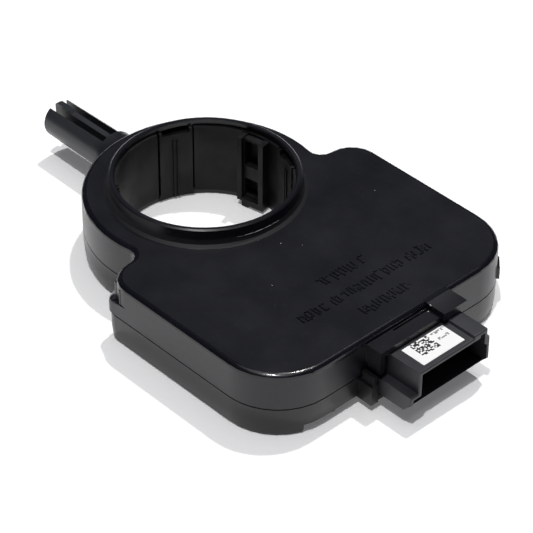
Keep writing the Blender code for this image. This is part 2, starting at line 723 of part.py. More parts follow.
def build_lower_housing():
    """The base: a tray with the rim of the bore, gear bosses, board posts and header cradle."""
    top = SEAM_Z - SEAM_GAP / 2
    low = housing_outline(SKIRT_IN, BASE_CORNER_R)
    full = housing_outline(0.0, BASE_CORNER_R)
    sole = housing_outline(SOLE_IN, BASE_CORNER_R)
    sections = [(low, 0.0), (sole, SOLE_H), (full, SKIRT_H), (full, top)]
    base = add_mesh("lower_housing", loft("lower_housing", sections), PARTS, BLACK_PBT)

    room = housing_outline(WALL, BASE_CORNER_R)
    cut(base, flat_solid("tray", room, FLOOR_T, top + 0.01), "tray")

    # an inner rib stands up past the seam and centres the cover
    rib_out = housing_outline(WALL + CLEAR, BASE_CORNER_R)
    rib_in = housing_outline(WALL + CLEAR + RIB_T, BASE_CORNER_R)
    shelf = housing_outline(WALL - BITE, BASE_CORNER_R)
    rib = add_mesh("rib", flat_solid("rib", rib_out, top - 0.0020, top + RIB_H), TOOLS)
    join(rib, flat_solid("shelf", shelf, top - 0.0020, top - 0.0004), "shelf")
    cut(rib, flat_solid("rib_room", rib_in, 0.0, TOP_Z), "rib_room")
    lift = COVER_CORNER_R - BASE_CORNER_R
    for side, label in ((1, "rib_gap_left"), (-1, "rib_gap_right")):
        x, y = SHOULDER_X + WALL, side * (BODY_HALF - WALL)
        across = sorted((y + side * 0.001, y - side * (lift + 0.001)))
        gap = [((x - 0.001, x + lift + 0.001), across, (top, TOP_Z))]
        cut(rib, boxes(label, gap), label)
    join(base, rib, "rib")

    # the floor steps up behind the header, so the plug clears the surface below
    inside = housing_outline(WALL - BITE, BASE_CORNER_R)
    raised = add_mesh("raised", flat_solid("raised", inside, FLOOR_T / 2, STEP_Z + FLOOR_T), TOOLS)
    beyond = [((-2 * RING_R, STEP_X - FLOOR_T), (-BODY_X, BODY_X), (0.0, TOP_Z))]
    cut(raised, boxes("beyond", beyond), "beyond")
    join(base, raised, "raised")
    wide = (STEP_SIDE - BODY_HALF, BODY_HALF - STEP_FAR_SIDE)
    under = [((STEP_X, BODY_X + 0.01), wide, (-0.001, STEP_Z))]
    cut(base, boxes("under", under), "under")
    for side, label in ((1, "foot_left"), (-1, "foot_right")):
        at = (BODY_X - FOOT_R - 0.0009, side * FOOT_Y)
        join(base, cylinder(label, FOOT_R, FOOT_Z, STEP_Z + BITE, at, 12), label)

    # the cradle round the header, its catches and the cut for the header itself
    left = HEADER_LEFT - FLANGE_W - CLEAR
    right = HEADER_RIGHT + CLEAR
    root = BODY_X - WALL
    wide = (left - CRADLE_W, right + CRADLE_W)
    floor = [((root, CRADLE_X), wide, (STEP_Z, HEADER_Z0 - CLEAR))]
    join(base, boxes("cradle_floor", floor), "cradle_floor")
    cheeks = [
        ((root, CRADLE_X), (left - CRADLE_W, left), (CRADLE_Z0, CRADLE_Z1)),
        ((root, CRADLE_X), (right, right + CRADLE_W), (CRADLE_Z0, CRADLE_Z1)),
    ]
    join(base, boxes("cheek_left", cheeks[:1]), "cheek_left")
    join(base, boxes("cheek_right", cheeks[1:]), "cheek_right")
    catch_x = BODY_X + CLEAR
    catches = [
        ((catch_x, CRADLE_X), (left - 0.0006 - CATCH_T, left - 0.0006), (CRADLE_Z1 - BITE, CATCH_Z)),
        ((catch_x, CRADLE_X), (right + 0.0006, right + 0.0006 + CATCH_T), (CRADLE_Z1 - BITE, CATCH_Z)),
    ]
    join(base, boxes("catch_left", catches[:1]), "catch_left")
    join(base, boxes("catch_right", catches[1:]), "catch_right")
    way = grow(header_section(), CLEAR)
    cut(base, move(flat_solid("header_way", way, root - 0.004, 2 * BODY_X), ALONG_X), "header_way")

    # bosses that the measuring gears turn on, and posts with pegs for the board
    for teeth, side, label in ((TEETH_A, 1, "a"), (TEETH_B, -1, "b")):
        x, y, _ = gear_place(teeth, side)
        join(base, cylinder("boss", BOSS_R, FLOOR_T / 2, HUB_Z0 - CLEAR, (x, y), 24), "boss_" + label)
        pin = cylinder("pin", PIN_R, HUB_Z0 - CLEAR - BITE, PIN_Z, (x, y), 16)
        join(base, pin, "pin_" + label)
    for k, (x, y) in enumerate(post_places()):
        post = cylinder("post", POST_R, FLOOR_T / 2, BOARD_Z - CLEAR, (x, y), 12)
        join(base, post, "post_%d" % (k + 1))
        peg = cylinder("peg", PEG_R, BOARD_Z - CLEAR - BITE, BOARD_Z + BOARD_T + 0.0002, (x, y), 12)
        join(base, peg, "peg_%d" % (k + 1))

    # the bore: a tube round the sleeve, and a rim that the sleeve stands over
    cut(base, cylinder("bore", tube_out() - BITE, -0.01, top + 0.01), "bore")
    rim = [
        (tube_out(), GEAR_Z - CLEAR),
        (tube_out(), 0.0),
        (RIM_R, 0.0),
        (RIM_R, RIM_T),
        (tube_in(), RIM_T),
        (tube_in(), GEAR_Z - CLEAR),
    ]
    join(base, turned("rim_and_tube", rim, TOOLS), "rim")

    # room for the collar of the cover's peg, which crosses the seam
    place = Matrix.Translation((0.0, 0.0, PEG_AXIS_Z)) @ ALONG_X
    deep = -(RING_R - WALL - RIB_T - 2 * CLEAR) + 0.0001
    notch = cylinder("notch", COLLAR_R + CLEAR, 2 * COLLAR_X, deep, facets=32)
    cut(base, move(notch, place), "notch")
    smooth(base)
    return base


def build_rotor():
    """The rotor: a sleeve with sprung tabs and a drive channel, and the ring gear round it."""
    z0 = RIM_T + CLEAR
    z1 = LIP_Z - LIP_COVER_T - CLEAR
    out = sleeve_out()
    profile = [(out, z1), (out, z0), (SLEEVE_R, z0), (SLEEVE_R, z1)]
    rotor = turned("rotor_hub", profile, PARTS, GREY_POM)
    teeth = gear_outline(ROTOR_TEETH, TOOTH_THIN)
    wheel = add_mesh("wheel", flat_solid("wheel", teeth, GEAR_Z, GEAR_Z + GEAR_FACE), TOOLS)
    cut(wheel, cylinder("wheel_bore", out - BITE, 0.0, TOP_Z), "wheel_bore")
    join(rotor, wheel, "wheel")

    # the drive channel: two posts with a pierced wall between them, and a short foot below
    spin = turn(KEY_TURN)
    half = KEY_W / 2
    gap = half - KEY_POST
    crown = z1 - KEY_CROWN
    fork = [
        (-half, KEY_SOLE),
        (gap - KEY_FOOT_W, KEY_SOLE),
        (gap - KEY_FOOT_W, KEY_FOOT_Z),
        (gap, KEY_FOOT_Z),
        (gap, KEY_HEEL),
        (half, KEY_HEEL),
        (half, crown),
        (gap, crown),
        (gap, KEY_FLOOR),
        (-gap, KEY_FLOOR),
        (-gap, crown),
        (-half, crown),
    ]
    key = flat_solid("key", fork, SLEEVE_R - KEY_DEPTH, SLEEVE_R + BITE)
    join(rotor, move(key, spin @ ALONG_X), "key")
    back = SLEEVE_R - KEY_BACK
    tall = (KEY_FLOOR - BITE, crown - 0.0004)
    plate = [((back, SLEEVE_R + BITE / 2), (-gap - BITE, gap + BITE), tall)]
    join(rotor, move(boxes("plate", plate), spin), "plate")
    gap -= 0.0002
    deep = (back - 0.0002, out - WINDOW_SKIN)
    windows = [
        (deep, (-gap, gap), (GEAR_Z + GEAR_FACE + 0.0005, z1 - 0.0012)),
        (deep, (-gap, gap), (KEY_FLOOR + 0.0004, GEAR_Z - 0.0008)),
    ]
    for n, window in enumerate(windows):
        cut(rotor, move(boxes("window", [window]), spin), "window_%d" % (n + 1))

    for k in range(TAB_COUNT):
        spin = turn(TAB_TURN + 360.0 * k / TAB_COUNT)
        half = TAB_W / 2
        deep = (SLEEVE_R - 0.001, out + 0.0001)
        face = SLEEVE_R - TAB_PAD_T
        low = z0 - TAB_SOLE
        curve = [(SLEEVE_R + BITE, z1), (SLEEVE_R + BITE, low), (face, low), (face, z1)]
        pad = turned("tab_pad", curve, TOOLS)
        sector = [((SLEEVE_R / 2, out), (-half - TAB_SLOT / 2, half + TAB_SLOT / 2), (0.0, LIP_Z))]
        combine(pad, move(boxes("sector", sector), spin), "INTERSECT", "sector")
        join(rotor, pad, "tab_pad_%d" % (k + 1))
        for n, y in enumerate((-TAB_RIB_SIDE, TAB_RIB_SIDE)):
            across = (y - TAB_RIB_W / 2, y + TAB_RIB_W / 2)
            rib = [((face - TAB_RIB_T, SLEEVE_R + BITE / 2), across, (low + 0.0002, TAB_Z - 0.0018))]
            join(rotor, move(boxes("tab_rib", rib), spin), "tab_rib_%d_%d" % (k + 1, n + 1))
        slots = [
            (deep, (-half - TAB_SLOT, -half), (TAB_FOOT, z1 + 0.001)),
            (deep, (half, half + TAB_SLOT), (TAB_FOOT, z1 + 0.001)),
        ]
        for n, slot in enumerate(slots):
            cut(rotor, move(boxes("slot", [slot]), spin), "slot_%d_%d" % (k + 1, n + 1))
        notch = [(deep, (-half + TAB_CHEEK, half - TAB_CHEEK), (TAB_Z, z1 + 0.002))]
        cut(rotor, move(boxes("notch", notch), spin), "notch_%d" % (k + 1))
    # below the sleeve the keys stay inside the rim of the base
    clear_of_rim = [
        (out + 0.001, z0 - 0.00005),
        (out + 0.001, -0.001),
        (RIM_R - CLEAR, -0.001),
        (RIM_R - CLEAR, z0 - 0.00005),
    ]
    cut(rotor, turned("rim_room", clear_of_rim, TOOLS), "rim_room")
    smooth(rotor)
    return rotor


def build_measuring_gear(name, teeth, side):
    """A measuring gear on its boss, with a pocket on top for its magnet."""
    x, y, at = gear_place(teeth, side)
    outline = gear_outline(teeth, TOOTH_THIN)
    gear = add_mesh(name, flat_solid(name, outline, GEAR_Z, GEAR_Z + GEAR_FACE), PARTS, WHITE_POM)
    join(gear, cylinder("hub", HUB_R, HUB_Z0, HUB_Z1, facets=28), "hub")
    cut(gear, cylinder("bearing", PIN_R + CLEAR, 0.0, PIN_Z + CLEAR, facets=20), "bearing")
    pocket = HUB_Z1 - MAGNET_T
    cut(gear, cylinder("pocket", MAGNET_R + CLEAR, pocket, TOP_Z, facets=24), "pocket")
    # a gap of the gear faces the rotor's tooth: half a pitch on when the count is even
    facing = (180.0 * teeth / 360.0) % 1.0
    gear.rotation_euler.z = math.radians(at + (0.5 - facing) * 360.0 / teeth)
    gear.location = (x, y, 0.0)
    smooth(gear)
    return gear


def build_magnet(name, teeth, side):
    x, y, _ = gear_place(teeth, side)
    z = HUB_Z1 - MAGNET_T + CLEAR
    magnet = add_mesh(name, cylinder(name, MAGNET_R, z, z + MAGNET_T, facets=24), PARTS, MAGNET_NICKEL)
    magnet.location = (x, y, 0.0)
    smooth(magnet)
    return magnet


def build_board():
    """The circuit board, with horns beside the ring and holes for the pegs and the pins."""
    outline = housing_outline(WALL + BOARD_EDGE, COVER_CORNER_R)
    sheet = flat_solid("circuit_board", outline, BOARD_Z, BOARD_Z + BOARD_T)
    board = add_mesh("circuit_board", sheet, PARTS, BOARD_GREEN)
    back = [((-2 * RING_R, BOARD_BACK), (-BODY_X, BODY_X), (0.0, TOP_Z))]
    cut(board, boxes("back", back), "back")
    cut(board, cylinder("round", tube_out() + 0.0010, 0.0, TOP_Z), "round")
    for k, (x, y) in enumerate(post_places()):
        cut(board, cylinder("hole", PEG_R + CLEAR, 0.0, TOP_Z, (x, y), 12), "hole_%d" % (k + 1))
    side = PIN_SIDE / 2 + CLEAR
    for k, y in enumerate(pin_rows()):
        hole = [((PIN_LEG_X - side, PIN_LEG_X + side), (y - side, y + side), (0.0, TOP_Z))]
        cut(board, boxes("pin_hole", hole), "pin_hole_%d" % (k + 1))
    smooth(board)
    return board


def build_chip(name, centre, size, leads, look):
    """A moulded chip under the board with bent leads along two sides."""
    x, y = centre
    long, wide, tall = size
    top = BOARD_Z - CLEAR
    body = [((x - long / 2, x + long / 2), (y - wide / 2, y + wide / 2), (top - tall, top - 0.0001))]
    chip = add_mesh(name, boxes(name, body), PARTS, look)
    reach = 0.0009
    pitch = long / leads
    for k in range(leads):
        at = x - long / 2 + pitch * (k + 0.5)
        across = (y - wide / 2 - reach, y + wide / 2 + reach)
        lead = [((at - 0.2 * pitch, at + 0.2 * pitch), across, (top - 0.0003, top))]
        join(chip, boxes("lead", lead), "lead_%d" % (k + 1))
    return chip


def build_can(name, centre, radius, height, look):
    """A round component hanging under the board on a square foot."""
    x, y = centre
    top = BOARD_Z - CLEAR
    can = add_mesh(name, cylinder(name, radius, top - height, top - 0.0005, centre, 28), PARTS, look)
    side = radius * 1.04
    foot = [((x - side, x + side), (y - side, y + side), (top - 0.0010, top))]
    join(can, boxes("foot", foot), "foot")
    smooth(can)
    return can


def pin_rows():
    return [PIN_ROW_Y + (k - (PIN_COUNT - 1) / 2) * PIN_PITCH for k in range(PIN_COUNT)]


def build_pin(name, y):
    """A contact pin: a blade in the mouth of the header, bent up through the board behind it."""
    s = PIN_SIDE / 2
    up = BOARD_Z + BOARD_T + 0.0005
    side_view = [
        (PIN_TIP_X, PIN_ROW_Z + 0.4 * s),
        (PIN_TIP_X - 2 * s, PIN_ROW_Z + s),
        (PIN_LEG_X + s, PIN_ROW_Z + s),
        (PIN_LEG_X + s, up),
        (PIN_LEG_X - s, up),
        (PIN_LEG_X - s, PIN_ROW_Z),
        (PIN_LEG_X, PIN_ROW_Z - s),
        (PIN_TIP_X - 2 * s, PIN_ROW_Z - s),
        (PIN_TIP_X, PIN_ROW_Z - 0.4 * s),
    ]
    mesh = move(flat_solid(name, side_view, -s, s), Matrix.Translation((0.0, y, 0.0)) @ ALONG_Y)
    pin = add_mesh(name, mesh, PARTS, TINNED)
    smooth(pin)
    return pin


def build_header():
    """The plug socket, a moulding of its own that the two shells hold between them."""
    root = BODY_X - CLEAR
    body = move(flat_solid("connector_header", header_section(), root, MOUTH_X), ALONG_X)
    header = add_mesh("connector_header", body, PARTS, GREY_PBT)
    front = MOUTH_X - 1e-6
    round_edges(header, lambda a, b: a.x > front and b.x > front, 0.00025, 1)
    half = PIN_PITCH * PIN_COUNT / 2 + 2 * HEADER_T
    deep = (PIN_ROW_Z - 3 * HEADER_T, PIN_ROW_Z + 3 * HEADER_T)
    carrier = [((CARRIER_X, root + BITE), (PIN_ROW_Y - half, PIN_ROW_Y + half), deep)]
    join(header, boxes("carrier", carrier), "carrier")
    cut(header, move(flat_solid("socket", socket_section(), SOCKET_X, MOUTH_X + 0.01), ALONG_X), "socket")
    side = PIN_SIDE / 2 + CLEAR
    for k, y in enumerate(pin_rows()):
        tall = (PIN_ROW_Z - side, PIN_ROW_Z + side)
        way = [((CARRIER_X - 0.001, SOCKET_X + 0.001), (y - side, y + side), tall)]
        cut(header, boxes("pin_way", way), "pin_way_%d" % (k + 1))
    chin = [
        (MOUTH_X + 0.001, HEADER_Z0 - 0.001),
        (MOUTH_X + 0.001, HEADER_Z0 + CHIN + 0.001),
        (MOUTH_X - CHIN - 0.001, HEADER_Z0 - 0.001),
    ]
    cut(header, move(flat_solid("chin", chin, -2 * HEADER_RIGHT, 2 * HEADER_RIGHT), ALONG_Y), "chin")
    smooth(header)
    return header


clear_scene()
PARTS = collection(MODEL)
TOOLS = collection("shaping_tools")
SHADING = shade_group()
BLACK_PBT = material("black_moulded_pbt", (0.012, 0.013, 0.015), 0.34)
GREY_PBT = material("dark_grey_moulded_pbt", (0.030, 0.031, 0.034), 0.45)
GREY_POM = material("charcoal_acetal", (0.020, 0.021, 0.024), 0.40)
WHITE_POM = material("natural_acetal", (0.72, 0.71, 0.66), 0.42)
MAGNET_NICKEL = material("nickel_plated_magnet", (0.62, 0.60, 0.56), 0.28, 1.0)
BOARD_GREEN = material("green_circuit_board", (0.012, 0.10, 0.045), 0.45)
CHIP_BLACK = material("black_chip_epoxy", (0.018, 0.018, 0.020), 0.6)
TINNED = material("tinned_contact", (0.70, 0.69, 0.66), 0.30, 1.0)
CAN_METAL = material("drawn_aluminium_can", (0.65, 0.66, 0.68), 0.30, 1.0)

build_upper_cover()
build_lower_housing()
build_rotor()
build_measuring_gear("measuring_gear_a", TEETH_A, 1)
build_measuring_gear("measuring_gear_b", TEETH_B, -1)
build_magnet("gear_magnet_a", TEETH_A, 1)
build_magnet("gear_magnet_b", TEETH_B, -1)
build_board()
build_chip("angle_sensor_a", gear_place(TEETH_A, 1)[:2], SENSOR_SIZE, 4, CHIP_BLACK)
build_chip("angle_sensor_b", gear_place(TEETH_B, -1)[:2], SENSOR_SIZE, 4, CHIP_BLACK)
build_chip("microcontroller", CONTROLLER_AT, CONTROLLER_SIZE, 8, CHIP_BLACK)
build_chip("bus_transceiver", TRANSCEIVER_AT, TRANSCEIVER_SIZE, 4, CHIP_BLACK)
build_chip("voltage_regulator", REGULATOR_AT, REGULATOR_SIZE, 3, CHIP_BLACK)
build_can("buffer_capacitor", CAPACITOR_AT, CAPACITOR_R, CAPACITOR_H, CAN_METAL)
build_can("quartz_crystal", CRYSTAL_AT, CRYSTAL_R, CRYSTAL_H, CAN_METAL)
for number, row in enumerate(pin_rows()):
    build_pin("contact_pin_%d" % (number + 1), row)
build_header()
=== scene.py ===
# %% [markdown]
# # A steering angle sensor, dressed for its photograph
# The real object is a flat black plastic box with a round hole, through which the steering
# shaft passes. A rotor with four tongues lines that hole and is turned by the shaft. A short
# split peg locks the box at one end, and at the other end a grey header takes the wiring plug.
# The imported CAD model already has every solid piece. This script loads it as a fixed frame,
# gives each piece its finish, softens the moulded edges and adds the small things that a solid
# model leaves out: the printed label, the raised marks on the lid and some dust.

# %% Load the frame
import math
import bmesh
import bpy
from mathutils import Matrix, Vector


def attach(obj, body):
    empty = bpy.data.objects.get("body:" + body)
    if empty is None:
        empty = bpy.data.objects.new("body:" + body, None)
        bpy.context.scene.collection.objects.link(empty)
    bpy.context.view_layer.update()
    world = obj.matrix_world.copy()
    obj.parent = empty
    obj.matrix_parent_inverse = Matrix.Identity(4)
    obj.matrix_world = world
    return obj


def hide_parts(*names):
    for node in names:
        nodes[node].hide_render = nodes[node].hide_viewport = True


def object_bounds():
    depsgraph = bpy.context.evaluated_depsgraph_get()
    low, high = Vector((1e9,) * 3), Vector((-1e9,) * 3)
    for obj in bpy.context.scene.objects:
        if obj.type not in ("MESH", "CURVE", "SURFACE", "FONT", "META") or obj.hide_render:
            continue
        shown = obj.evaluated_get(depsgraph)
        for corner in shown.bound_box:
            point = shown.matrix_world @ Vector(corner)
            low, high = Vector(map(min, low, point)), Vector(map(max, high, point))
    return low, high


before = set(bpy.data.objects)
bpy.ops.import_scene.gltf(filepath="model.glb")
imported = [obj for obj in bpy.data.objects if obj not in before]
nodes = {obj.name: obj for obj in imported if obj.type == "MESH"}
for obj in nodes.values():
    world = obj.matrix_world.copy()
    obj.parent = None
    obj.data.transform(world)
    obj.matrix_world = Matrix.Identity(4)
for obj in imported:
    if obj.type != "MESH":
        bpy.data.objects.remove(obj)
cad_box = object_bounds()
print("pieces in the frame:", len(nodes))


# %% [markdown]
# ## Colours
# A colour picked from a picture is an sRGB value, but light adds up only in linear values, so
# Blender's sockets expect linear ones. One function turns a hex colour into them, and every
# colour below goes through it.

# %% From hex to linear
def colour(code):
    """sRGB hex such as '1c1d20' as a linear RGBA tuple."""
    parts = [int(code[i:i + 2], 16) / 255 for i in (0, 2, 4)]
    line = [c / 12.92 if c <= 0.04045 else ((c + 0.055) / 1.055) ** 2.4 for c in parts]
    return (*line, 1.0)


print("mid grey 808080 is linear", round(colour("808080")[0], 3))


# %% [markdown]
# ## Nodes
# Materials and Geometry Nodes are both graphs. One small function adds a node, sets its
# settings, and fills its inputs: a socket given as a value is linked, anything else is typed in.

# %% One function for every node
def add(tree, kind, settings=None, inputs=None):
    """A node of that kind in tree, with its settings and its inputs filled."""
    node = tree.nodes.new(kind)
    for name, value in (settings or {}).items():
        setattr(node, name, value)
    for name, value in (inputs or {}).items():
        if isinstance(value, bpy.types.NodeSocket):
            tree.links.new(value, node.inputs[name])
        else:
            node.inputs[name].default_value = value
    return node


def blank(name):
    """A material with an empty graph, and its tree."""
    made = bpy.data.materials.new(name)
    made.use_nodes = True
    made.node_tree.nodes.clear()
    return made, made.node_tree


print("helpers for graphs:", add.__name__, blank.__name__)


# %% [markdown]
# ## Camera
# The photograph was taken from high on the right with a long lens, so that parallel edges stay
# nearly parallel. The place, the aim and the lens were fitted to points of the object that the
# picture shows: the rims of the round hole, the corners of the lid and the header. The small
# roll keeps the upright edges as they stand in the picture.

# %% Camera
EYE = Vector((0.37241, -0.33033, 0.38164))
AIM = Vector((0.016256, 0.004941, 0.0))
ROLL = math.radians(0.246)
FOCAL = 172.65            # in mm, on a sensor of this width
SENSOR = 36.0

lens = bpy.data.cameras.new("product_camera")
lens.lens = FOCAL
lens.sensor_width = SENSOR
lens.clip_start = 0.01
camera = bpy.data.objects.new("product_camera", lens)
bpy.context.scene.collection.objects.link(camera)
back = (EYE - AIM).normalized()
right = Vector((0, 0, 1)).cross(back).normalized()
up = back.cross(right)
tilted_right = right * math.cos(ROLL) + up * math.sin(ROLL)
tilted_up = back.cross(tilted_right)
stance = Matrix((tilted_right, tilted_up, back)).transposed().to_4x4()
camera.matrix_world = Matrix.Translation(EYE) @ stance
bpy.context.scene.camera = camera
print("camera stands", round((EYE - AIM).length, 3), "m from its aim")

# %% [markdown]
# ## Floor and light
# The object lies on a white sweep. The floor is a real white surface, so that it keeps the
# shadows. A little glow is added for what the camera and the gloss see of it, as a lit
# product table has, and that makes it a clean white. The black walls mirror this floor, which
# is why they look grey while the lid looks black: the lid mirrors the dim studio behind it.
# Two hard lamps draw crisp shadows: one high behind the left end and one high in front. Where
# one is blocked the floor is pale grey, and where both are it is dark. A weak softbox overhead
# and a dim, slightly blue sky fill what is left. The camera sees that sky as plain white.

# %% White floor
BACKDROP_R = 1.6
TABLE_GLOW = 0.12
FLOOR_GAP = 0.00005       # so that the floor and the underside don't share a plane

sweep = bmesh.new()
bmesh.ops.create_circle(sweep, cap_ends=True, radius=BACKDROP_R, segments=96)
floor_mesh = bpy.data.meshes.new("studio_floor")
sweep.to_mesh(floor_mesh)
sweep.free()
floor = bpy.data.objects.new("studio_floor", floor_mesh)
bpy.context.scene.collection.objects.link(floor)
floor.location.z = cad_box[0][2] - FLOOR_GAP

paper, tree = blank("white_paper_sweep")
rays = add(tree, "ShaderNodeLightPath")
seen = add(tree, "ShaderNodeMath", {"operation": "MAXIMUM"}, {
    0: rays.outputs["Is Camera Ray"], 1: rays.outputs["Is Glossy Ray"]})
seen = add(tree, "ShaderNodeMath", {"operation": "MAXIMUM"}, {
    0: seen.outputs[0], 1: rays.outputs["Is Transmission Ray"]})
glow = add(tree, "ShaderNodeMath", {"operation": "MULTIPLY"}, {
    0: seen.outputs[0], 1: TABLE_GLOW})
white = add(tree, "ShaderNodeBsdfDiffuse", inputs={"Color": colour("fcfcfc")})
lit = add(tree, "ShaderNodeEmission", inputs={
    "Color": (1, 1, 1, 1), "Strength": glow.outputs[0]})
both = add(tree, "ShaderNodeAddShader", inputs={0: white.outputs[0], 1: lit.outputs[0]})
add(tree, "ShaderNodeOutputMaterial", inputs={"Surface": both.outputs[0]})
floor.data.materials.append(paper)
print("floor radius in m:", BACKDROP_R)


# %% Lamps and sky
def lamp(name, kind, place, aim, power, **shape):
    """A lamp of that kind at place, turned to its aim."""
    data = bpy.data.lights.new(name, kind)
    data.energy = power
    for key, value in shape.items():
        setattr(data, key, value)
    made = bpy.data.objects.new(name, data)
    bpy.context.scene.collection.objects.link(made)
    look = (Vector(place) - Vector(aim)).to_track_quat("Z", "Y").to_matrix().to_4x4()
    made.matrix_world = Matrix.Translation(place) @ look
    return made


SKY = 0.05                # radiance of the dim studio, seen by everything but the camera
ORIGIN = (0, 0, 0)
MIDDLE = (0.015, 0.0, 0.0)
SPREAD = math.radians(1.6)    # angle that a hard lamp fills, small for a crisp shadow

lamp("back_lamp", "SUN", (-0.14, 0.40, 1.0), ORIGIN, 1.40, angle=SPREAD)
lamp("front_lamp", "SUN", (0.10, -0.22, 1.0), ORIGIN, 1.25, angle=SPREAD)
lamp("overhead_softbox", "AREA", (0.015, 0.0, 1.0), MIDDLE, 2.6, shape="DISK", size=1.0)

world = bpy.data.worlds.new("studio_sky")
bpy.context.scene.world = world
world.use_nodes = True
tree = world.node_tree
tree.nodes.clear()
rays = add(tree, "ShaderNodeLightPath")
level = add(tree, "ShaderNodeMapRange", inputs={
    "Value": rays.outputs["Is Camera Ray"], "To Min": SKY, "To Max": 1.0})
tinted = add(tree, "ShaderNodeMix", {"data_type": "RGBA"}, {
    "Factor": rays.outputs["Is Camera Ray"], "A": colour("dae3ff"), "B": colour("fdfdff")})
sky = add(tree, "ShaderNodeBackground", inputs={
    "Color": tinted.outputs["Result"], "Strength": level.outputs[0]})
add(tree, "ShaderNodeOutputWorld", inputs={"Surface": sky.outputs[0]})


# %% [markdown]
# ## Moulded PBT
# Cover and base are injection moulded in black PBT, a polyester that is filled with short glass
# fibre, and the header in a dark grey one. It is coloured right through, with an IOR near 1.5
# like most plastics. The steel mould was spark eroded to a fine grain, so the skin has a soft
# satin gloss that breaks up a little: a few darker and lighter clouds where the melt flowed, and
# grain that is about 0.1 mm on the real piece. That is finer than a pixel here, so it is drawn
# at about 0.35 mm. The cover's skin changes in places. The far end of the ring is painted
# lighter, a painted reflection of the bright floor that its wall catches. The two shoulder
# pockets turn a lighter grey. The top edge is worn smoother, and the foot of the lip, where no
# finger reaches, keeps a matt grain. How light or how smooth each of these is was matched to the
# photograph.
# Each place is a mask made from the Object coordinates, so it stays put from every side.

# %% Moulded PBT
CLOUD = 0.016             # size of a cloud in the melt
GRAIN = 0.00035           # size of the grain of the skin, as drawn
FLECK = 0.0011            # size of a fleck of dust
FLECK_GREY = "8c8d90"
# painted reflection: the lighter grey at the ring's far end
REFLECTION_GREY = "2c2e31"
FILM_GREY = "77787b"


def between(tree, value, low, high):
    """1 where value lies between low and high, and 0 elsewhere."""
    middle = add(tree, "ShaderNodeMath", {"operation": "COMPARE"}, {
        0: value, 1: (low + high) / 2, 2: (high - low) / 2})
    return middle.outputs[0]


